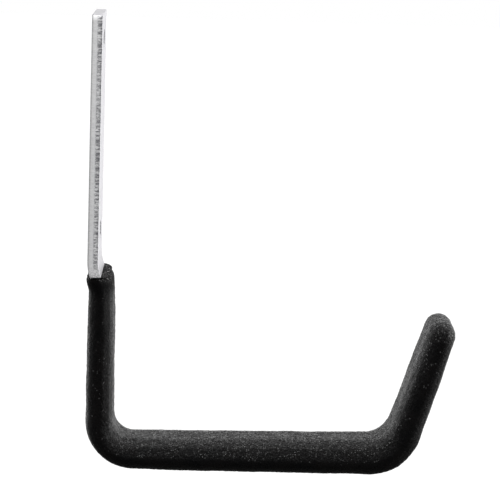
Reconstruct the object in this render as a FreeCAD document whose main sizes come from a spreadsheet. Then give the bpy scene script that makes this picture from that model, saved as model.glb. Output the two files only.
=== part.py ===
# Garage utility hook: one flat steel strip, bent to a J, with a thick soft coat dipped
# over its lower part. Sizes are in millimetres. The strip's flat upper part stands on
# the wall at x = 0 with +Z up, and the hook opens towards +X. The origin is midway
# between the two screw holes, on the strip's back face.
import FreeCAD, Part
import math
import os

import Sketcher
from FreeCAD import Vector

# The driving dimensions: name, value, what it is. Angles are in degrees.
SIZES = [
    ("strip_width", 30.0, "width of the flat strip"),
    ("strip_thick", 4.0, "thickness of the flat strip"),
    ("hole_size", 7.0, "diameter of each screw hole"),
    ("hole_spacing", 73.0, "distance between the two screw holes"),
    ("hole_margin", 10.0, "from each screw hole to its end of the wall plate"),
    ("joggle_depth", 3.2, "how far the joggle sets the lower part off the wall"),
    ("joggle_radius", 18.0, "centre-line radius of both arcs of the joggle"),
    ("upright_length", 48.0, "straight part between the joggle and the lower bend"),
    ("lower_bend", 11.0, "inside radius of the lower bend"),
    ("run_length", 90.0, "straight part that carries the load"),
    ("run_rise", 0.4, "how far the run slopes up, away from the wall"),
    ("tip_bend", 14.0, "inside radius of the bend up to the arm"),
    ("arm_angle", 72.0, "slope of the arm above level"),
    ("arm_length", 41.5, "straight part of the arm, to the strip's end"),
    ("end_corner", 2.0, "radius of the strip's corners at both ends"),
    ("rollover", 0.5, "rounding that the shear leaves on the back's outline"),
    ("punch_bevel", 0.5, "bevel that the punch leaves on the back of each screw hole"),
    ("coat_thick", 2.4, "thickness of the dipped coat"),
    ("coat_round", 4.0, "rounding of the coat's long edges and of its tip"),
    ("dip_drop", 6.8, "from the start of the joggle down to the coat's rim"),
    ("rim_round", 2.0, "rounding of the coat's rim"),
]

# Sizes and places that both pieces take from the sheet, as expressions.
TOP = "(Sizes.hole_spacing / 2 + Sizes.hole_margin)"
HALF_THICK = "(Sizes.strip_thick / 2)"
LOWER_RADIUS = "(Sizes.lower_bend + Sizes.strip_thick / 2)"
TIP_RADIUS = "(Sizes.tip_bend + Sizes.strip_thick / 2)"
DIP_LEVEL = f"({TOP} + Sizes.dip_drop)"
COVERED_ARM = "(Sizes.arm_length + Sizes.coat_thick)"
COAT_DEPTH = "(Sizes.strip_thick + 2 * Sizes.coat_thick)"
COAT_WIDTH = "(Sizes.strip_width + 2 * Sizes.coat_thick)"

SHARP = 0.3  # least sine of the angle between two faces whose shared edge is sharp
CLOSE = 0.01  # lengths that differ by less than this are the same
START, END, CENTRE = range(1, 4)  # the sketcher's numbers for a curve's first, last and centre point
ORIGIN, UPRIGHT_AXIS = range(-1, -3, -1)  # and for its own origin and upright axis

doc = FreeCAD.newDocument("utility_hook")
sheet = doc.addObject("Spreadsheet::Sheet", "Sizes")
for row, (alias, value, meaning) in enumerate(SIZES, start=1):
    sheet.set(f"A{row}", meaning)
    sheet.set(f"B{row}", str(value))
    sheet.setAlias(f"B{row}", alias)
doc.recompute()


def size(alias):
    """A driving dimension as the sheet holds it."""
    return float(sheet.get(alias))


def number(expression):
    """What an expression of the sheet's dimensions comes to."""
    return float(sheet.evalExpression(expression))


def new_body(name):
    """A body with a label of its own."""
    body = doc.addObject("PartDesign::Body", name)
    body.Label = name
    return body


def new_sketch(body, name, role):
    """An empty sketch on one of the body's own origin planes."""
    sketch = body.newObject("Sketcher::SketchObject", name)
    plane = next(item for item in body.Origin.OriginFeatures if item.Role == role)
    sketch.AttachmentSupport = [(plane, "")]
    sketch.MapMode = "FlatFace"
    return sketch


def bind(sketch, expression, kind, *where):
    """Add a sketch constraint that takes its value from the sheet."""
    value = number(expression)
    if kind == "Angle":
        value = math.radians(value)
    index = sketch.addConstraint(Sketcher.Constraint(kind, *where, value))
    sketch.setExpression(f"Constraints[{index}]", expression)


def heading(angle):
    """Unit vector in a sketch's plane at an angle in degrees."""
    return Vector(math.cos(math.radians(angle)), math.sin(math.radians(angle)), 0)


class Route:
    """Tangent lines and arcs, drawn one after the other into a sketch."""

    def __init__(self, sketch, point, direction):
        self.sketch = sketch
        self.point = point
        self.direction = direction
        self.last = None

    def add(self, curve, ends):
        """Add a curve, tangent to the one before; ends are its own two ends in order."""
        index = self.sketch.addGeometry(curve, False)
        if self.last:
            self.sketch.addConstraint(Sketcher.Constraint("Tangent", *self.last, index, ends[0]))
        self.last = (index, ends[1])
        return index

    def line(self, length):
        """Go straight on."""
        end = self.point + heading(self.direction) * length
        index = self.add(Part.LineSegment(self.point, end), (START, END))
        self.point = end
        return index

    def arc(self, radius, turn):
        """Turn by an angle in degrees, to the left if it is positive."""
        side = math.copysign(90, turn)
        centre = self.point + heading(self.direction + side) * radius
        begin = self.direction - side
        low, high = sorted((begin, begin + turn))
        circle = Part.Circle(centre, Vector(0, 0, 1), radius)
        arc = Part.ArcOfCircle(circle, math.radians(low), math.radians(high))
        index = self.add(arc, (START, END) if turn > 0 else (END, START))
        self.point = centre + heading(begin + turn) * radius
        self.direction += turn
        return index


def centreline(body, name, arm_length):
    """The line down the middle of the strip, from its top end to the end of the arm."""
    sketch = new_sketch(body, name, "XZ_Plane")
    joggle = math.degrees(math.acos(1 - size("joggle_depth") / (2 * size("joggle_radius"))))
    route = Route(sketch, Vector(number(HALF_THICK), number(TOP), 0), -90)
    plate = route.line(2 * number(TOP))
    joggle_out = route.arc(size("joggle_radius"), joggle)
    joggle_back = route.arc(size("joggle_radius"), -joggle)
    upright = route.line(size("upright_length"))
    lower = route.arc(number(LOWER_RADIUS), 90 + size("run_rise"))
    run = route.line(size("run_length"))
    tip = route.arc(number(TIP_RADIUS), size("arm_angle") - size("run_rise"))
    arm = route.line(number(arm_length))

    for line in (plate, upright):
        sketch.addConstraint(Sketcher.Constraint("Vertical", line))
    sketch.addConstraint(Sketcher.Constraint("Equal", joggle_out, joggle_back))
    bind(sketch, HALF_THICK, "DistanceX", ORIGIN, START, plate, START)
    bind(sketch, TOP, "DistanceY", ORIGIN, START, plate, START)
    bind(sketch, f"2 * {TOP}", "Distance", plate)
    bind(sketch, "Sizes.joggle_radius", "Radius", joggle_out)
    bind(sketch, "Sizes.joggle_depth", "DistanceX", plate, END, upright, START)
    bind(sketch, "Sizes.upright_length", "Distance", upright)
    bind(sketch, LOWER_RADIUS, "Radius", lower)
    bind(sketch, "Sizes.run_length", "Distance", run)
    bind(sketch, "Sizes.run_rise * 1 deg", "Angle", run)
    bind(sketch, TIP_RADIUS, "Radius", tip)
    bind(sketch, "Sizes.arm_angle * 1 deg", "Angle", arm)
    bind(sketch, arm_length, "Distance", arm)
    return sketch


def rectangle(body, name, role, across, along):
    """A sketch of a rectangle about its own origin, which lies on the centre line."""
    sketch = new_sketch(body, name, role)
    half_across = number(across) / 2
    half_along = number(along) / 2
    corners = [Vector(-half_across, -half_along, 0), Vector(half_across, -half_along, 0),
               Vector(half_across, half_along, 0), Vector(-half_across, half_along, 0)]
    sides = [Part.LineSegment(corners[k], corners[(k + 1) % 4]) for k in range(4)]
    bottom, right, top, left = sketch.addGeometry(sides, False)
    for first, second in ((bottom, right), (right, top), (top, left), (left, bottom)):
        sketch.addConstraint(Sketcher.Constraint("Coincident", first, END, second, START))
    for line in (bottom, top):
        sketch.addConstraint(Sketcher.Constraint("Horizontal", line))
    for line in (left, right):
        sketch.addConstraint(Sketcher.Constraint("Vertical", line))
    sketch.addConstraint(Sketcher.Constraint("Symmetric", bottom, START, right, END, ORIGIN, START))
    bind(sketch, across, "Distance", bottom)
    bind(sketch, along, "Distance", right)
    sketch.setExpression("AttachmentOffset.Base.x", HALF_THICK)
    return sketch


def swept(body, name, path, across, along):
    """A solid of rectangular section that follows the centre line from the top end."""
    section = rectangle(body, f"{name}_section", "XY_Plane", across, along)
    section.setExpression("AttachmentOffset.Base.z", TOP)
    pipe = body.newObject("PartDesign::AdditivePipe", name)
    pipe.Profile = section
    pipe.Spine = (path, [])
    doc.recompute()
    return pipe


def look(face, edge):
    """The direction that a face looks in at the middle of one of its edges."""
    curve, first, last = face.curveOnSurface(edge)
    middle = curve.value((first + last) / 2)
    return face.normalAt(middle.x, middle.y)


def is_sharp(shape, edge):
    """Whether the two faces that meet at an edge make a corner there."""
    faces = shape.ancestorsOfType(edge, Part.Face)
    return len(faces) == 2 and look(faces[0], edge).cross(look(faces[1], edge)).Length > SHARP


def skin(shape, point):
    """The faces that flow smoothly into the face that a point lies on."""
    found = [min(shape.Faces, key=lambda face: face.distToShape(Part.Vertex(point))[0])]
    for face in found:
        for edge in face.Edges:
            if is_sharp(shape, edge):
                continue
            for other in shape.ancestorsOfType(edge, Part.Face):
                if not any(other.isSame(known) for known in found):
                    found.append(other)
    return found


def pick(shape, wanted):
    """The names of the edges that pass a test."""
    return [f"Edge{index}" for index, edge in enumerate(shape.Edges, start=1) if wanted(edge)]


def around(shape, point, holes):
    """The sharp edges of the skin that a point lies on: of its holes, or of its outline."""
    edges = [edge for face in skin(shape, point) for edge in face.Edges
             if is_sharp(shape, edge) and edge.isClosed() == holes]
    return pick(shape, lambda edge: any(edge.isSame(known) for known in edges))


def crosses(edge, depth):
    """Whether an edge is a corner of the strip's end: straight through its thickness."""
    straight = isinstance(edge.Curve, Part.Line)
    level = abs(edge.Vertexes[0].Y - edge.Vertexes[-1].Y) < CLOSE
    return straight and level and abs(edge.Length - depth) < CLOSE


def lies_level(edge, level):
    """Whether an edge lies in the level plane at a height."""
    box = edge.BoundBox
    return abs(box.ZMin - level) < CLOSE and abs(box.ZMax - level) < CLOSE


def dress(body, kind, name, edges, expression):
    """Round or bevel some edges of the body's last feature."""
    base = body.Tip
    feature = body.newObject(f"PartDesign::{kind}", name)
    feature.Base = (base, edges)
    feature.setExpression("Radius" if kind == "Fillet" else "Size", expression)
    doc.recompute()
    return feature


def pocket(body, name, sketch, expression, both_ways=False):
    """Cut a sketch out of the body, to a depth from the sheet."""
    before = body.Shape.Volume
    feature = body.newObject("PartDesign::Pocket", name)
    feature.Profile = sketch
    feature.Type = "Length"
    feature.SideType = "Symmetric" if both_ways else "One side"
    feature.Reversed = not both_ways
    feature.setExpression("Length", expression)
    doc.recompute()
    if body.Shape.Volume > before - CLOSE:
        raise RuntimeError(f"{name} cuts nothing")
    return feature


def screw_holes(body):
    """The two holes of the wall plate, one above the other."""
    sketch = new_sketch(body, "screw_hole_sketch", "YZ_Plane")
    for side in (1, -1):
        centre = Vector(0, side * size("hole_spacing") / 2, 0)
        hole = sketch.addGeometry(Part.Circle(centre, Vector(0, 0, 1), size("hole_size") / 2), False)
        sketch.addConstraint(Sketcher.Constraint("PointOnObject", hole, CENTRE, UPRIGHT_AXIS))
        ends = (ORIGIN, START, hole, CENTRE) if side > 0 else (hole, CENTRE, ORIGIN, START)
        bind(sketch, "Sizes.hole_spacing / 2", "DistanceY", *ends)
        bind(sketch, "Sizes.hole_size", "Diameter", hole)
    pocket(body, "screw_holes", sketch, "Sizes.strip_thick")


def steel_strip():
    """The flat strip, sheared and punched from the back, then bent."""
    body = new_body("steel_strip")
    path = centreline(body, "strip_centreline", "Sizes.arm_length")
    swept(body, "bent_strip", path, "Sizes.strip_thick", "Sizes.strip_width")
    ends = pick(body.Shape, lambda edge: crosses(edge, size("strip_thick")))
    dress(body, "Fillet", "end_corners", ends, "Sizes.end_corner")
    screw_holes(body)
    on_back = Vector(0, 0, 0)
    dress(body, "Fillet", "sheared_edge", around(body.Shape, on_back, holes=False), "Sizes.rollover")
    dress(body, "Chamfer", "punched_edge", around(body.Shape, on_back, holes=True), "Sizes.punch_bevel")
    return body


def dipped_outside():
    """The coat's outside: the strip grown by the coat, cut level where the dip stopped."""
    body = new_body("dipped_outside")
    path = centreline(body, "coat_centreline", COVERED_ARM)
    swept(body, "grown_strip", path, COAT_DEPTH, COAT_WIDTH)
    above = rectangle(body, "above_the_dip", "XZ_Plane", f"2 * {COAT_DEPTH}", f"2 * {DIP_LEVEL}")
    pocket(body, "dip_line", above, f"2 * {COAT_WIDTH}", both_ways=True)
    rim = -number(DIP_LEVEL)
    depth = number(COAT_DEPTH)
    tip = pick(body.Shape, lambda edge: crosses(edge, depth) and not lies_level(edge, rim))
    dress(body, "Fillet", "tip_corners", tip, "Sizes.end_corner + Sizes.coat_thick")
    long_edges = pick(body.Shape, lambda edge: is_sharp(body.Shape, edge) and not lies_level(edge, rim))
    dress(body, "Fillet", "rounded_coat", long_edges, "Sizes.coat_round")
    around_rim = pick(body.Shape, lambda edge: lies_level(edge, rim))
    dress(body, "Fillet", "rounded_rim", around_rim, "Sizes.rim_round")
    return body


def soft_coat(strip):
    """The coat itself: its outside less the strip that it covers."""
    coat = doc.addObject("Part::Cut", "soft_coat")
    coat.Label = "soft_coat"
    coat.Base = dipped_outside()
    coat.Tool = strip
    doc.recompute()
    return coat


def check_and_write(pieces):
    """Stop on anything that failed, then write one file for each piece."""
    doc.recompute()
    for item in doc.Objects:
        if "Invalid" in item.State or "Error" in item.State:
            raise RuntimeError(f"{item.Name} failed: {item.State}")
    os.makedirs("parts", exist_ok=True)
    for piece in pieces:
        shape = piece.Shape
        if shape.isNull() or not shape.isValid() or len(shape.Solids) != 1:
            raise RuntimeError(f"{piece.Label} isn't one valid solid")
        box = shape.BoundBox
        shape.exportStep(f"parts/{piece.Label}.step")
        print(f"{piece.Label}: {shape.Volume:.0f} mm3, x {box.XMin:.2f} to {box.XMax:.2f}, "
              f"y {box.YMin:.2f} to {box.YMax:.2f}, z {box.ZMin:.2f} to {box.ZMax:.2f}")


strip = steel_strip()
check_and_write([strip, soft_coat(strip)])
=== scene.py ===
import math

import bmesh
import bpy
from mathutils import Matrix, Vector, noise


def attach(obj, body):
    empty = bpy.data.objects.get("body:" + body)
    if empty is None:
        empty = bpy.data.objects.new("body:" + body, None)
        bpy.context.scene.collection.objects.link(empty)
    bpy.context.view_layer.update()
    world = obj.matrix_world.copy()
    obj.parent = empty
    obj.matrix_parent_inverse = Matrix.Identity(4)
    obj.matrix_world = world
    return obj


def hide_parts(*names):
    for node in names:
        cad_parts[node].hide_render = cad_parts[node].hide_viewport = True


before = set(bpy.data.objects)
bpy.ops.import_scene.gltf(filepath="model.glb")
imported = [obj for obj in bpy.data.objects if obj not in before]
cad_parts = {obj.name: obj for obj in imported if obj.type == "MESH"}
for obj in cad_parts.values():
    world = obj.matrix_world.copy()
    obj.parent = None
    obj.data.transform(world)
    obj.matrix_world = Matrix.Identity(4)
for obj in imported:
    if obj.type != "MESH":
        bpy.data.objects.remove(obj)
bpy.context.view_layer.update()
mm = 0.001
tiny = 1e-7  # metres within which two places are the same
weld = 0.005 * mm  # vertices nearer to each other than this are merged
print("frame loaded:", sorted(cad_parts))

# The joggle sets the lower part off the wall by two equal and opposite turns
joggle = {"depth": 3.2 * mm, "radius": 18.0 * mm}
joggleTurn = math.degrees(math.acos(1 - joggle["depth"] / (2 * joggle["radius"])))

# The middle of the strip's thickness, from its top end: straight legs, and turns with a radius
route = {
    "start": (2.0 * mm, 46.5 * mm),
    "heading": -90.0,
    "legs": [
        {"length": 93.0 * mm},
        {"radius": joggle["radius"], "turn": joggleTurn},
        {"radius": joggle["radius"], "turn": -joggleTurn},
        {"length": 48.0 * mm},
        {"radius": 13.0 * mm, "turn": 90.4},
        {"length": 90.0 * mm},
        {"radius": 16.0 * mm, "turn": 71.6},
        {"length": 41.5 * mm},
    ],
}


def unit(degrees):
    return Vector((math.cos(math.radians(degrees)), math.sin(math.radians(degrees))))


def layOut(plan):
    # gives each leg its start, its heading and how far along the strip it begins, and returns the length
    spot = Vector(plan["start"])
    heading = plan["heading"]
    along = 0.0
    for leg in plan["legs"]:
        leg.update(spot=spot, heading=heading, along=along)
        if "turn" in leg:
            radius = math.copysign(leg["radius"], leg["turn"])
            centre = spot + unit(heading + 90) * radius
            heading += leg["turn"]
            spot = centre - unit(heading + 90) * radius
            along += abs(math.radians(leg["turn"])) * leg["radius"]
        else:
            spot = spot + unit(heading) * leg["length"]
            along += leg["length"]
    return along


def bend(co):
    # a point of the straight bar goes to its place on the bent one
    along = route["start"][1] - co.z
    leg = next((item for item in reversed(route["legs"]) if along >= item["along"]), route["legs"][0])
    gone = along - leg["along"]
    if "turn" in leg:
        radius = math.copysign(leg["radius"], leg["turn"])
        centre = leg["spot"] + unit(leg["heading"] + 90) * radius
        side = unit(leg["heading"] + 90 + math.degrees(gone / radius))
        spot = centre - side * (radius - co.x)
    else:
        spot = leg["spot"] + unit(leg["heading"]) * gone + unit(leg["heading"] + 90) * co.x
    return Vector((spot.x, co.y, spot.y))


def finishPiece(bm, name, material, node, smoothAngle):
    # the mesh becomes a piece that stands for its node
    bmesh.ops.recalc_face_normals(bm, faces=bm.faces)
    mesh = bpy.data.meshes.new(name)
    bm.to_mesh(mesh)
    bm.free()
    mesh.shade_smooth()
    mesh.set_sharp_from_angle(angle=math.radians(smoothAngle))
    mesh.materials.append(material)
    piece = bpy.data.objects.new(name, mesh)
    bpy.context.scene.collection.objects.link(piece)
    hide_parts(node)
    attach(piece, "root")
    print(name, "has", len(mesh.polygons), "faces")


def cutRows(bm, normal, places):
    # flat cuts through the whole mesh, one for each place along a direction
    for place in places:
        bmesh.ops.bisect_plane(bm, geom=bm.verts[:] + bm.edges[:] + bm.faces[:], dist=tiny,
                               plane_co=Vector(normal) * place, plane_no=normal)


def steps(low, high, size):
    # even places between two ends, about a size apart, without the ends
    count = max(1, round((high - low) / size))
    return [low + (high - low) * k / count for k in range(1, count)]


def minus(bm, cutters):
    # takes solids away from a solid
    objects = []
    for index, part in enumerate([bm] + cutters):
        mesh = bpy.data.meshes.new(f"cut{index}")
        part.to_mesh(mesh)
        part.free()
        objects.append(bpy.data.objects.new(f"cut{index}", mesh))
        bpy.context.scene.collection.objects.link(objects[-1])
    for cutter in objects[1:]:
        tool = objects[0].modifiers.new("cut", "BOOLEAN")
        tool.object = cutter
        tool.operation = "DIFFERENCE"
        tool.solver = "MANIFOLD"
    bpy.context.view_layer.update()
    finished = objects[0].evaluated_get(bpy.context.evaluated_depsgraph_get())
    result = bpy.data.meshes.new_from_object(finished)
    left = bmesh.new()
    left.from_mesh(result)
    for item in objects:
        bpy.data.meshes.remove(item.data)
    bpy.data.meshes.remove(result)
    return left


def edgesAt(bm, test):
    return [edge for edge in bm.edges if test(edge)]


stripLength = layOut(route)
stripEnd = route["start"][1] - stripLength
print("strip is", round(stripLength / mm, 1), "mm along its middle")

# The flat steel strip, made straight and then bent
strip = {
    "thick": 4.0 * mm,
    "wide": 30.0 * mm,
    "corner": 2.0 * mm,
    "rollover": 0.5 * mm,
    "frontEdge": 0.15 * mm,
    "cornerSteps": 6,
    "rollSteps": 4,
    "frontSteps": 2,
    "holeRadius": 3.5 * mm,
    "holeSpacing": 73.0 * mm,
    "holeBevel": 0.5 * mm,
    "holeSteps": 64,
    "bareTo": -66.0 * mm,
    # distances between cuts across the edge, across the face, and along the bare and the hidden part
    "edgeRow": 0.3 * mm,
    "faceRow": 3.0 * mm,
    "fineRow": 0.4 * mm,
    "hiddenRow": 1.6 * mm,
    # the torn part of the sheared edge: its depth, where it begins, how far that wanders, its slope's width
    "tearDepth": 0.11 * mm,
    "tearFrom": -0.15 * mm,
    "tearWander": 0.35 * mm,
    "tearRise": 0.4 * mm,
    "tearLevel": 0.45,
    "tearRough": 0.75,
    "fineTear": 0.6,
    "smoothAngle": 28,
}


def flatBar(plan, grow):
    # a straight bar with round corners at its ends, a rolled outline at the back and a crisp one in front
    bm = bmesh.new()
    bmesh.ops.create_cube(bm, size=1.0)
    halfX = plan["thick"] / 2 + grow
    halfY = plan["wide"] / 2 + grow
    top = route["start"][1] + grow
    low = stripEnd - grow
    for vert in bm.verts:
        vert.co = Vector((vert.co.x * 2 * halfX, vert.co.y * 2 * halfY, top if vert.co.z > 0 else low))
    through = edgesAt(bm, lambda edge: abs(edge.verts[0].co.x - edge.verts[1].co.x) > halfX)
    bmesh.ops.bevel(bm, geom=through, offset=plan["corner"], offset_type="OFFSET", affect="EDGES",
                    segments=plan["cornerSteps"], profile=0.5, material=-1)
    outlines = ((-1, plan["rollover"], plan["rollSteps"]), (1, plan["frontEdge"], plan["frontSteps"]))
    for side, size, count in outlines:
        outline = edgesAt(bm, lambda edge: all(abs(v.co.x - side * halfX) < tiny for v in edge.verts))
        bmesh.ops.bevel(bm, geom=outline, offset=size, offset_type="OFFSET", affect="EDGES",
                        segments=count, profile=0.5, material=-1)
    return bm


def holeTools(plan, height):
    # a drill through the bar, and a cone for the bevel on its back
    back = -plan["thick"] / 2
    beyond = 1.0 * mm
    low = back - beyond
    radius = plan["holeRadius"]
    bevel = plan["holeBevel"]
    tools = []
    for high, backRadius in ((-back + beyond, radius), (back + bevel, radius + beyond + bevel)):
        bm = bmesh.new()
        place = Matrix.Translation(((low + high) / 2, 0, height)) @ Matrix.Rotation(math.pi / 2, 4, "Y")
        bmesh.ops.create_cone(bm, cap_ends=True, segments=plan["holeSteps"], radius1=backRadius,
                              radius2=radius, depth=high - low, matrix=place)
        tools.append(bm)
    return tools


def tear(co, plan):
    # how deep the sheared edge is torn at a place, deeper towards the front face
    where = co / mm
    edge = plan["tearFrom"] + plan["tearWander"] * noise.noise(Vector((0, where.y, where.z * 0.8)))
    torn = min(1.0, max(0.0, (co.x - edge) / plan["tearRise"]))
    rough = noise.noise(Vector((where.x * 0.7, where.y, where.z * 1.1)))
    fine = noise.noise(Vector((where.x * 1.6, where.y + 9, where.z * 2.3 + where.x)))
    rough += plan["fineTear"] * fine
    return plan["tearDepth"] * torn * (plan["tearLevel"] + plan["tearRough"] * rough)


def makeStrip(plan, material):
    bm = flatBar(plan, 0.0)
    top = route["start"][1]
    halfX = plan["thick"] / 2
    halfY = plan["wide"] / 2
    cutRows(bm, (1, 0, 0), steps(plan["rollover"] - halfX, halfX - plan["frontEdge"], plan["edgeRow"]))
    cutRows(bm, (0, 1, 0), steps(-halfY, halfY, plan["faceRow"]))
    cutRows(bm, (0, 0, 1), steps(plan["bareTo"], top - plan["corner"], plan["fineRow"]))
    cutRows(bm, (0, 0, 1), steps(stripEnd + plan["corner"], plan["bareTo"], plan["hiddenRow"]))
    bm = minus(bm, holeTools(plan, plan["holeSpacing"] / 2) + holeTools(plan, -plan["holeSpacing"] / 2))
    bmesh.ops.remove_doubles(bm, verts=bm.verts, dist=weld)
    lay = bm.loops.layers.uv.new("laid")
    for face in bm.faces:
        for loop in face.loops:
            place = loop.vert.co
            loop[lay].uv = (place.x / plan["thick"] + 0.5, (top - place.z) / stripLength)
    for vert in bm.verts:
        if abs(vert.co.y) > halfY - weld and vert.co.z > plan["bareTo"]:
            vert.co.y -= math.copysign(tear(vert.co, plan), vert.co.y)
    for vert in bm.verts:
        vert.co = bend(vert.co)
    finishPiece(bm, "zinc_strip", material, "steel_strip", plan["smoothAngle"])


# The soft coat, made straight round the strip and then bent with it
coat = {
    "thick": 2.4 * mm,
    # mm from the rim, mm of extra coat on the strip's back, and on its front
    "build": [(0, -0.55, -0.35), (3, -0.68, -0.35), (6, -0.6, -0.68), (10, -0.38, -0.6), (20, -0.22, -0.27),
              (40, -0.12, -0.2), (57, -0.17, 0.0), (66, 0.1, 0.3), (78, 0.75, 0.6), (94, 1.12, 0.75),
              (132, 1.22, 1.16), (150, 1.14, 1.25), (166, 1.1, 1.55), (177, 1.25, 1.15), (187, 0.78, 0.75),
              (196, 0.62, 0.48), (214, 0.33, 0.5), (228, -0.25, 0.4)],
    "crown": 0.8 * mm,
    # where the shoulders begin and how far they fall, on the upright legs and on the level run
    "legShoulder": (8.0 * mm, 2.0 * mm),
    "runShoulder": (6.0 * mm, 3.0 * mm),
    "shoulderCurve": 1.4,
    "runMiddle": 122.0 * mm,
    "runHalf": 40.0 * mm,
    "runFade": 25.0 * mm,
    "mostWider": 0.2 * mm,
    "tipReach": 12.6 * mm,
    "tipCrown": 1.35 * mm,
    "tipSlant": 0.1 * mm,
    "tipRound": -0.45 * mm,
    "leastShare": 0.68,  # of the even coat's depth, which no place goes below
    "rimHeight": -52.6 * mm,
    "rimRound": 2.2 * mm,
    "lipOver": 3.5 * mm,
    "backLip": -2.0 * mm,
    "frontLip": 0.2 * mm,
    "rimWave": 0.35 * mm,
    "waveScale": 0.25,
    "levelOver": 16.0 * mm,
    "calmRim": 1.5 * mm,
    "round": 4.2 * mm,
    "tipCorner": 0.6 * mm,
    "cell": 0.5 * mm,
    "fit": 0.02 * mm,
    "coreRow": 1.0 * mm,
    "coreEnd": 3.0 * mm,
    # the height of the pebbles and of the slow swell, and how many of each there are in a millimetre
    "grain": 0.2 * mm,
    "swell": 0.12 * mm,
    "pebbleScale": 0.75,
    "fineScale": 1.1,
    "swellScale": 0.12,
    "rippleScale": 0.3,
    "smoothAngle": 60,
}


def heightOnBar(level, x):
    # the height on the straight bar that ends up at a level after bending, found by halving
    reach = 20 * mm
    low = level - reach
    high = level + reach
    for halving in range(30):
        middle = (low + high) / 2
        if bend(Vector((x, 0, middle))).z > level:
            high = middle
        else:
            low = middle
    return low


def roundOff(co, halfX, halfY, top, low, plan):
    # a point of a square block goes to the block with round edges, a round tip and a rounded rim
    size = plan["round"]
    lip = plan["rimRound"]
    inX = halfX - size
    inY = halfY - size
    core = Vector((max(-inX, min(inX, co.x)), max(-inY, min(inY, co.y)), co.z))
    if co.z < low + size:
        core.z = low + size
        corner = plan["tipCorner"]
        over = Vector((abs(core.y) - (inY - corner), corner))
        if over.x > 0:
            core.y = math.copysign(inY - corner + corner * over.x / over.length, core.y)
            core.z += corner * (1 - over.y / over.length)
    away = co - core
    reach = max(abs(away.x), abs(away.y))
    depth = top - co.z
    if depth < lip and size - reach < lip and away.length > 0:
        swing = math.atan2(lip - depth, lip - size + reach)
        away = away.normalized() * (size - lip * (1 - math.cos(swing)))
        core.z = top - lip * (1 - math.sin(swing))
    elif away.length > 0:
        away = away.normalized() * size
    return core + away


def extraCoat(depth, side, plan):
    # how much thicker than usual the coat is, some way from its rim, on side 1 (back) or 2 (front)
    stops = plan["build"]
    for near, far in zip(stops, stops[1:]):
        if depth / mm < far[0]:
            share = max(0.0, depth / mm - near[0]) / (far[0] - near[0])
            return (near[side] + (far[side] - near[side]) * share) * mm
    return stops[-1][side] * mm


def pebbles(place, plan):
    # the height of the coat's skin over a place on the bent coat
    where = place / mm
    near = noise.voronoi(where * plan["pebbleScale"] + Vector((5, 2, 9)))[0]
    grains = (0.55 - near[0]) * 0.8
    fine = noise.noise(where * plan["fineScale"])
    swell = noise.noise(where * plan["swellScale"] + Vector((3, 7, 1)))
    ripple = noise.noise(where * plan["rippleScale"])
    return plan["grain"] * (grains + 0.5 * fine) + plan["swell"] * (swell + 0.5 * ripple)


def buildUp(co, depth, low, halfX, halfY, plan):
    # a point of the even coat goes to the real one's thickness, crown and shoulders, and to its longer tip
    onRun = min(1.0, max(0.0, 1 - (abs(depth - plan["runMiddle"]) - plan["runHalf"]) / plan["runFade"]))
    ends = zip(plan["legShoulder"], plan["runShoulder"])
    begin, shoulder = (leg + (run - leg) * onRun for leg, run in ends)
    over = max(0.0, abs(co.y) - begin) / (halfY - begin)
    fall = shoulder * over ** plan["shoulderCurve"]
    back, front = (extraCoat(depth, side, plan) for side in (1, 2))
    extra, lip = (front, plan["frontLip"]) if co.x > 0 else (back, plan["backLip"])
    lip *= max(0.0, 1 - depth / plan["lipOver"]) ** 2
    x = co.x * max(plan["leastShare"], 1 + (plan["crown"] - fall + extra + lip) / halfX)
    y = co.y * (1 + min(plan["mostWider"], (back + front) / 2) / halfY)
    share = max(0.0, 1 - (co.z - low) / plan["tipReach"])
    across = x / halfX
    z = co.z - share * (plan["tipCrown"] + (plan["tipSlant"] + plan["tipRound"] * across) * across - fall)
    return Vector((x, y, z))


def levelRim(bm, top, plan):
    # near the rim the coat moves along the bar, so that the rim is level once bent, but for a slight wave
    levels = {}
    for vert in bm.verts:
        depth = top - vert.co.z
        if depth < plan["levelOver"]:
            key = round(vert.co.x / mm, 2)
            if key not in levels:
                levels[key] = heightOnBar(plan["rimHeight"], key * mm) - top
            ease = 1 - max(0.0, depth) / plan["levelOver"]
            spot = vert.co / mm * plan["waveScale"]
            wave = noise.noise(Vector((spot.x, spot.y, 4)))
            vert.co.z += ease * ease * (3 - 2 * ease) * (levels[key] + plan["rimWave"] * wave)


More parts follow.
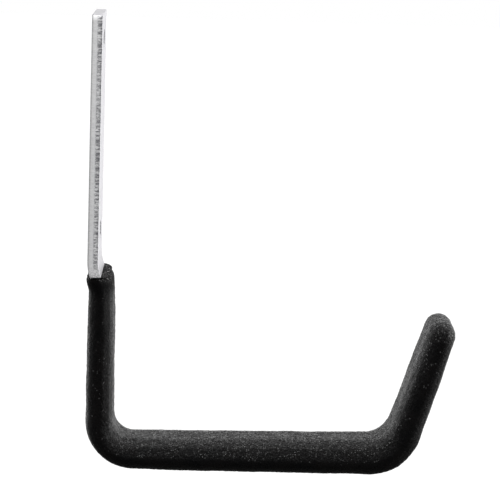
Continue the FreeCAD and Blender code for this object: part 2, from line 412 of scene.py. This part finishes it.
def makeCoat(plan, material):
    halfX = strip["thick"] / 2 + plan["thick"]
    halfY = strip["wide"] / 2 + plan["thick"]
    top = heightOnBar(plan["rimHeight"], 0)
    low = stripEnd - plan["thick"]
    bm = bmesh.new()
    bmesh.ops.create_cube(bm, size=1.0)
    for vert in bm.verts:
        vert.co = Vector((vert.co.x * 2 * halfX, vert.co.y * 2 * halfY, top if vert.co.z > 0 else low))
    for axis, length in ((0, 2 * halfX), (1, 2 * halfY), (2, top - low)):
        edges = edgesAt(bm, lambda edge: abs(edge.verts[0].co[axis] - edge.verts[1].co[axis]) > length / 2)
        bmesh.ops.subdivide_edges(bm, edges=edges, cuts=round(length / plan["cell"]), use_grid_fill=True)
    for vert in bm.verts:
        vert.co = roundOff(vert.co, halfX, halfY, top, low, plan)
    bm.normal_update()
    print("coat blank has", len(bm.faces), "faces")

    for vert in bm.verts:
        depth = top - vert.co.z
        skin = pebbles(bend(vert.co), plan) * min(1.0, depth / plan["calmRim"])
        vert.co = buildUp(vert.co + vert.normal * skin, depth, low, halfX, halfY, plan)
    core = flatBar(strip, plan["fit"])
    cutRows(core, (0, 0, 1), steps(stripEnd + plan["coreEnd"], top + plan["coreEnd"], plan["coreRow"]))
    bm = minus(bm, [core])
    bmesh.ops.remove_doubles(bm, verts=bm.verts, dist=weld)
    levelRim(bm, top, plan)
    for vert in bm.verts:
        vert.co = bend(vert.co)
    finishPiece(bm, "dipped_coat", material, "soft_coat", plan["smoothAngle"])


def newMaterial(name):
    material = bpy.data.materials.new(name)
    material.use_nodes = True
    nodes = material.node_tree.nodes
    return material, nodes, material.node_tree.links, nodes["Principled BSDF"]


def inMillimetres(nodes, links, stretch=(1, 1, 1)):
    # object coordinates, one unit to the millimetre, stretched by a factor
    place = nodes.new("ShaderNodeTexCoord")
    scaled = nodes.new("ShaderNodeMapping")
    scaled.inputs["Scale"].default_value = [1000 * factor for factor in stretch]
    links.new(place.outputs["Object"], scaled.inputs["Vector"])
    return scaled.outputs["Vector"]


def noiseNode(nodes, links, vector, scale, detail=3.0, rough=0.5):
    node = nodes.new("ShaderNodeTexNoise")
    node.inputs["Scale"].default_value = scale
    node.inputs["Detail"].default_value = detail
    node.inputs["Roughness"].default_value = rough
    links.new(vector, node.inputs["Vector"])
    return node.outputs["Fac"]


offAndOn = ((0.0,), (1.0,))


def ramp(nodes, links, value, stops):
    # from place to colour, where a colour of one number is a grey
    stops = list(stops)
    node = nodes.new("ShaderNodeValToRGB")
    while len(node.color_ramp.elements) < len(stops):
        node.color_ramp.elements.new(0.5)
    for element, (place, colour) in zip(node.color_ramp.elements, stops):
        element.position = place
        element.color = (*colour, 1) if len(colour) == 3 else (colour[0],) * 3 + (1,)
    links.new(value, node.inputs["Fac"])
    return node.outputs["Color"]


def mixColour(nodes, links, factor, first, second):
    node = nodes.new("ShaderNodeMix")
    node.data_type = "RGBA"
    for socket, value in (("Factor_Float", factor), ("A_Color", first), ("B_Color", second)):
        target = next(item for item in node.inputs if item.identifier == socket)
        if isinstance(value, (tuple, float)):
            target.default_value = value
        else:
            links.new(value, target)
    return next(item for item in node.outputs if item.identifier == "Result_Color")


def maths(nodes, links, operation, *values):
    node = nodes.new("ShaderNodeMath")
    node.operation = operation
    for socket, value in zip(node.inputs, values):
        if isinstance(value, float):
            socket.default_value = value
        else:
            links.new(value, socket)
    return node.outputs["Value"]


def spread(nodes, links, value, low, high):
    # 0 at the low value and 1 at the high one, straight in between
    node = nodes.new("ShaderNodeMapRange")
    node.inputs["From Min"].default_value = low
    node.inputs["From Max"].default_value = high
    links.new(value, node.inputs["Value"])
    return node.outputs["Result"]


def bump(nodes, links, height, distance, strength):
    node = nodes.new("ShaderNodeBump")
    node.inputs["Distance"].default_value = distance
    node.inputs["Strength"].default_value = strength
    links.new(height, node.inputs["Height"])
    return node.outputs["Normal"]


# Satin black vinyl with grit in patches, glints on it, and pale crumbs along the rim
vinyl = {
    "dark": (0.004, 0.004, 0.0042),
    "lessDark": (0.0062, 0.0057, 0.0057),
    "crumb": (0.42, 0.39, 0.40, 1.0),
    # how many to the millimetre
    "gritScale": 1.5,
    "cloudScale": 0.16,
    "grainScale": 1.25,
    "flakeScale": 0.9,
    # a grain glints where its own chance, the cloud and the slope add up to enough
    "cloudShare": 0.9,
    "slopeShare": 0.45,
    "glintAbove": 1.45,
    "glintSize": 0.36,
    # heights in millimetres between which the crumbs come in, and the coat turns dull towards its rim
    "crumbHeights": (-57.0, -53.5),
    "crumbAbove": 0.65,
    "dullHeights": (-62.0, -56.0),
    "rough": {"least": 0.17, "cloud": 0.25, "dull": 0.3, "glint": -0.2},
    "shine": {"least": 0.025, "grit": 0.12, "dull": -0.6, "glint": 0.55},
    "bumpDepth": 0.75 * mm,
}


def blackCoat(plan):
    rough, shine = plan["rough"], plan["shine"]
    material, nodes, links, shader = newMaterial("black dipped vinyl")
    place = inMillimetres(nodes, links)
    grit = noiseNode(nodes, links, place, plan["gritScale"], 3.0, 0.7)
    cloud = noiseNode(nodes, links, place, plan["cloudScale"], 2.0)
    cells = nodes.new("ShaderNodeTexVoronoi")
    cells.inputs["Scale"].default_value = plan["grainScale"]
    links.new(place, cells.inputs["Vector"])
    pick = nodes.new("ShaderNodeSeparateColor")
    links.new(cells.outputs["Color"], pick.inputs["Color"])
    facing = nodes.new("ShaderNodeNewGeometry")
    slope = nodes.new("ShaderNodeSeparateXYZ")
    links.new(facing.outputs["Normal"], slope.inputs["Vector"])
    chance = maths(nodes, links, "MULTIPLY_ADD", cloud, plan["cloudShare"], pick.outputs["Red"])
    chance = maths(nodes, links, "MULTIPLY_ADD", slope.outputs["Z"], plan["slopeShare"], chance)
    chosen = maths(nodes, links, "GREATER_THAN", chance, plan["glintAbove"])
    small = maths(nodes, links, "LESS_THAN", cells.outputs["Distance"], plan["glintSize"])
    glint = maths(nodes, links, "MULTIPLY", chosen, small)

    tone = ramp(nodes, links, cloud, [(0.35, plan["dark"]), (0.65, plan["lessDark"])])
    axes = nodes.new("ShaderNodeSeparateXYZ")
    links.new(place, axes.inputs["Vector"])
    nearRim = spread(nodes, links, axes.outputs["Z"], *plan["crumbHeights"])
    dull = spread(nodes, links, axes.outputs["Z"], *plan["dullHeights"])
    flakes = noiseNode(nodes, links, place, plan["flakeScale"], 3.0, 0.6)
    flakes = maths(nodes, links, "MULTIPLY", flakes, nearRim)
    crumbs = maths(nodes, links, "GREATER_THAN", flakes, plan["crumbAbove"])
    links.new(mixColour(nodes, links, crumbs, tone, plan["crumb"]), shader.inputs["Base Color"])

    matt = maths(nodes, links, "MULTIPLY_ADD", cloud, rough["cloud"], rough["least"])
    matt = maths(nodes, links, "MULTIPLY_ADD", dull, rough["dull"], matt)
    matt = maths(nodes, links, "MULTIPLY_ADD", glint, rough["glint"], matt)
    links.new(matt, shader.inputs["Roughness"])
    coarse = ramp(nodes, links, grit, [(0.45, (0.0,)), (0.62, (shine["grit"],))])
    upward = ramp(nodes, links, slope.outputs["Z"], [(0.05, (0.0,)), (0.35, (1.0,))])
    gloss = maths(nodes, links, "MULTIPLY_ADD", coarse, upward, shine["least"])
    kept = maths(nodes, links, "MULTIPLY_ADD", dull, shine["dull"], 1.0)
    gloss = maths(nodes, links, "MULTIPLY", gloss, kept)
    gloss = maths(nodes, links, "MULTIPLY_ADD", glint, shine["glint"], gloss)
    links.new(gloss, shader.inputs["Specular IOR Level"])
    links.new(bump(nodes, links, grit, plan["bumpDepth"], 1.0), shader.inputs["Normal"])
    return material


# Bright plate, a sheared edge that is torn in front, and whitish residue where the coat begins
zinc = {
    "face": ((0.355, 0.35, 0.37), (0.42, 0.415, 0.435)),
    # painted shade: the face takes this darker grey from where the strip turns up into the joggle, to hold
    # back the light it catches there
    "paintedShadeFace": (0.32, 0.315, 0.33, 1.0),
    "smoothEdge": ((0.83, 0.83, 0.84), (0.98, 0.98, 0.985)),
    "tornEdge": ((0.24, 0.24, 0.255), (0.92, 0.92, 0.93)),
    "residue": ((0.5, 0.5, 0.51), (0.95, 0.94, 0.95)),
    # shares of the strip's length from its top end
    "paintedShadeFrom": (0.27, 0.3),
    "residueFrom": (0.303, 0.312),
    "residueWander": 0.03,
    # shares of its thickness from the back, with the wander added
    "tornFrom": (0.85, 0.92),
    "tornWander": 0.75,
    # how many to the millimetre
    "cloudScale": 0.25,
    "lineScale": 1.8,
    "speckleScale": 1.8,
    "rough": ((0.5,), (0.36,)),
    "metallic": 0.7,
    "residueMetallic": -0.6,
    "bumpDepth": 0.05 * mm,
    "bumpShare": 0.6,
}


def zincPlate(plan):
    material, nodes, links, shader = newMaterial("zinc plated steel")
    place = inMillimetres(nodes, links)
    cross = inMillimetres(nodes, links, (0.35, 0.35, 1.0))
    cloud = noiseNode(nodes, links, place, plan["cloudScale"], 3.0)
    lines = noiseNode(nodes, links, cross, plan["lineScale"], 4.0, 0.65)
    speckle = noiseNode(nodes, links, place, plan["speckleScale"], 3.0, 0.7)
    laid = nodes.new("ShaderNodeUVMap")
    laid.uv_map = "laid"
    parts = nodes.new("ShaderNodeSeparateXYZ")
    links.new(laid.outputs["UV"], parts.inputs["Vector"])
    facing = nodes.new("ShaderNodeNewGeometry")
    axes = nodes.new("ShaderNodeSeparateXYZ")
    links.new(facing.outputs["Normal"], axes.inputs["Vector"])
    onEdge = maths(nodes, links, "GREATER_THAN", maths(nodes, links, "ABSOLUTE", axes.outputs["Y"]), 0.6)

    face = ramp(nodes, links, cloud, zip((0.35, 0.7), plan["face"]))
    # painted shade: the face is painted darker from the joggle down, where it turns up towards the light
    low = ramp(nodes, links, parts.outputs["Y"], zip(plan["paintedShadeFrom"], offAndOn))
    face = mixColour(nodes, links, low, face, plan["paintedShadeFace"])
    smooth = ramp(nodes, links, lines, zip((0.35, 0.6), plan["smoothEdge"]))
    torn = ramp(nodes, links, lines, zip((0.41, 0.59), plan["tornEdge"]))
    wander = maths(nodes, links, "MULTIPLY_ADD", lines, plan["tornWander"], parts.outputs["X"])
    band = ramp(nodes, links, wander, zip(plan["tornFrom"], offAndOn))
    edge = mixColour(nodes, links, band, smooth, torn)
    # painted shade: the sheared edge is painted darker on its rolled back rounding and along its crisp
    # front outline
    paintedEdgeShade = [(0.04, (0.55,)), (0.2, (1.0,)), (0.84, (1.0,)), (0.92, (0.75,))]
    shade = ramp(nodes, links, parts.outputs["X"], paintedEdgeShade)
    edge = mixColour(nodes, links, shade, (0.0, 0.0, 0.0, 1.0), edge)
    metal = mixColour(nodes, links, onEdge, face, edge)
    frost = ramp(nodes, links, speckle, zip((0.4, 0.6), plan["residue"]))
    reach = maths(nodes, links, "MULTIPLY_ADD", speckle, plan["residueWander"], parts.outputs["Y"])
    residue = ramp(nodes, links, reach, zip(plan["residueFrom"], offAndOn))
    residue = maths(nodes, links, "MULTIPLY", residue, onEdge)
    links.new(mixColour(nodes, links, residue, metal, frost), shader.inputs["Base Color"])
    links.new(ramp(nodes, links, lines, zip((0.3, 0.7), plan["rough"])), shader.inputs["Roughness"])
    links.new(bump(nodes, links, lines, plan["bumpDepth"], plan["bumpShare"]), shader.inputs["Normal"])
    metallic = maths(nodes, links, "MULTIPLY_ADD", residue, plan["residueMetallic"], plan["metallic"])
    links.new(metallic, shader.inputs["Metallic"])
    return material


makeStrip(strip, zincPlate(zinc))
makeCoat(coat, blackCoat(vinyl))

# The studio: a pale floor well under the hook, a white surround, soft light from above
studio = {
    "floor": -0.40,
    "size": 6.0,
    "floorTone": (0.12, 0.12, 0.12, 1),
    "floorRough": 0.9,
    # the floor's own light, as seen and as mirrored by the hook from beyond some way off
    "floorSeen": 0.92,
    "floorMirrored": 1.15,
    "mirroredBeyond": (0.5, 1.0),
    # the surround's light: as seen, in front, and straight behind, where its direction's Y passes the two
    "seen": 1.0,
    "front": 1.0,
    "back": 1.45,
    "backFrom": (0.85, 1.0),
    "lamps": [
        {"name": "overhead", "at": (0.15, 0.35, 1.1), "to": (0.06, 0, -0.05), "size": 0.3, "power": 4},
        {"name": "side", "at": (1.15, 0.5, -0.1), "to": (0.06, 0, -0.05), "size": 1.0, "power": 14},
    ],
}


def makeFloor(plan):
    bm = bmesh.new()
    bmesh.ops.create_grid(bm, x_segments=1, y_segments=1, size=plan["size"])
    bmesh.ops.translate(bm, verts=bm.verts, vec=(0, 0, plan["floor"]))
    mesh = bpy.data.meshes.new("floor")
    bm.to_mesh(mesh)
    bm.free()
    floor = bpy.data.objects.new("floor", mesh)
    bpy.context.scene.collection.objects.link(floor)
    material, nodes, links, shader = newMaterial("pale floor")
    shader.inputs["Base Color"].default_value = plan["floorTone"]
    shader.inputs["Roughness"].default_value = plan["floorRough"]
    glow = nodes.new("ShaderNodeEmission")
    rays = nodes.new("ShaderNodeLightPath")
    spot = nodes.new("ShaderNodeNewGeometry")
    axes = nodes.new("ShaderNodeSeparateXYZ")
    links.new(spot.outputs["Position"], axes.inputs["Vector"])
    away = maths(nodes, links, "MAXIMUM", axes.outputs["X"], axes.outputs["Y"])
    beyond = spread(nodes, links, away, *plan["mirroredBeyond"])
    mirrored = maths(nodes, links, "MULTIPLY", rays.outputs["Is Glossy Ray"], beyond)
    straight = (rays.outputs["Is Camera Ray"], rays.outputs["Is Transmission Ray"])
    seen = maths(nodes, links, "MULTIPLY", maths(nodes, links, "MAXIMUM", *straight), plan["floorSeen"])
    strength = maths(nodes, links, "MULTIPLY_ADD", mirrored, plan["floorMirrored"], seen)
    links.new(strength, glow.inputs["Strength"])
    both = nodes.new("ShaderNodeAddShader")
    links.new(shader.outputs["BSDF"], both.inputs[0])
    links.new(glow.outputs["Emission"], both.inputs[1])
    links.new(both.outputs["Shader"], nodes["Material Output"].inputs["Surface"])
    mesh.materials.append(material)


def makeSky(plan):
    # white all round, and brighter straight behind the hook
    world = bpy.data.worlds.new("surround")
    bpy.context.scene.world = world
    world.use_nodes = True
    nodes = world.node_tree.nodes
    links = world.node_tree.links
    place = nodes.new("ShaderNodeTexCoord")
    axes = nodes.new("ShaderNodeSeparateXYZ")
    links.new(place.outputs["Generated"], axes.inputs["Vector"])
    depth = nodes.new("ShaderNodeMapRange")
    depth.interpolation_type = "SMOOTHSTEP"
    depth.inputs["From Min"].default_value, depth.inputs["From Max"].default_value = plan["backFrom"]
    depth.inputs["To Min"].default_value = plan["front"]
    depth.inputs["To Max"].default_value = plan["back"]
    links.new(axes.outputs["Y"], depth.inputs["Value"])
    rays = nodes.new("ShaderNodeLightPath")
    level = nodes.new("ShaderNodeMapRange")
    links.new(rays.outputs["Is Camera Ray"], level.inputs["Value"])
    links.new(depth.outputs["Result"], level.inputs["To Min"])
    level.inputs["To Max"].default_value = plan["seen"]
    links.new(level.outputs["Result"], nodes["Background"].inputs["Strength"])
    nodes["Background"].inputs["Color"].default_value = (1, 1, 1, 1)


def aim(thing, at, to):
    thing.location = at
    thing.rotation_euler = (Vector(at) - Vector(to)).to_track_quat("Z", "Y").to_euler()


def makeLamps(plan):
    for lamp in plan["lamps"]:
        light = bpy.data.lights.new(lamp["name"], "AREA")
        light.shape = "DISK"
        light.size = lamp["size"]
        light.energy = lamp["power"]
        thing = bpy.data.objects.new(lamp["name"], light)
        bpy.context.scene.collection.objects.link(thing)
        aim(thing, lamp["at"], lamp["to"])


# The camera: a long lens that looks along the wall, a little down and a little tilted
camera = {
    "target": (61.399 * mm, 0.0, -42.941 * mm),
    "turn": -0.791,
    "raise": 9.575,
    "tilt": 1.743,
    "distance": 0.936,
    "sensor": 36.0,
    "lens": 175.95,
}


def makeCamera(plan):
    turn, up, tilt = (math.radians(plan[key]) for key in ("turn", "raise", "tilt"))
    back = Vector((math.sin(turn) * math.cos(up), -math.cos(turn) * math.cos(up), math.sin(up)))
    level = Vector((math.cos(turn), math.sin(turn), 0))
    upright = back.cross(level)
    right = level * math.cos(tilt) + upright * math.sin(tilt)
    data = bpy.data.cameras.new("camera")
    data.sensor_width = plan["sensor"]
    data.lens = plan["lens"]
    thing = bpy.data.objects.new("camera", data)
    bpy.context.scene.collection.objects.link(thing)
    axes = Matrix((right, back.cross(right), back)).transposed()
    spot = Vector(plan["target"]) + back * plan["distance"]
    thing.matrix_world = Matrix.Translation(spot) @ axes.to_4x4()
    bpy.context.scene.camera = thing


makeFloor(studio)
makeSky(studio)
makeLamps(studio)
makeCamera(camera)
bpy.context.scene.view_settings.view_transform = "Standard"
print("studio and camera are set")
